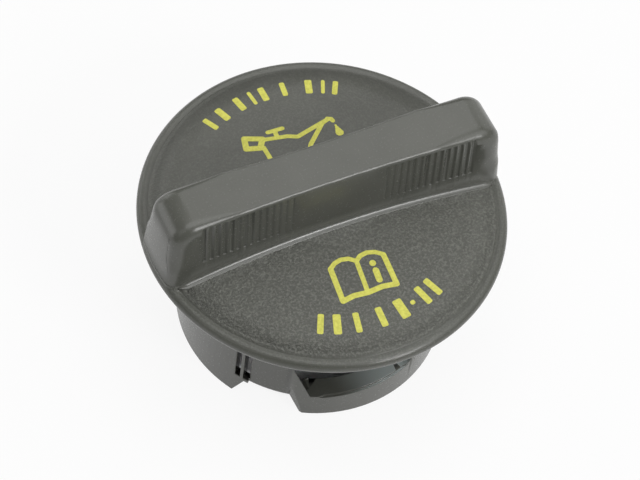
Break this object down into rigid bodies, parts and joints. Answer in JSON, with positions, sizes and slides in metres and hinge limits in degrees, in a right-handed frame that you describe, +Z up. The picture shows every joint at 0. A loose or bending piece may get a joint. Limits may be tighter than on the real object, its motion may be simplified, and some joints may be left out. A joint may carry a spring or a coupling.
{
  "type": "oil filler cap",
  "caption": "Moulded plastic filler cap with a ribbed bar handle, a crowned disc, a bayonet skirt with windows, and a rubber seal ring.",
  "frame": {"origin": "centre of the circle of the skirt wings' ends, on the surface that the cap stands on", "axes": "+Z up along the cap's turning axis, through the disc to the handle; +X along the handle; -Y towards the side with the instruction print"},
  "size_m": [0.066, 0.066, 0.0441],
  "materials": {
    "cap_plastic": "satin",
    "seal_rubber": "matte",
    "print_ink": "matte"
  },
  "bodies": {
    "root": {"cap_body": "cap_plastic", "seal_ring": "seal_rubber"}
  },
  "joints": []
}
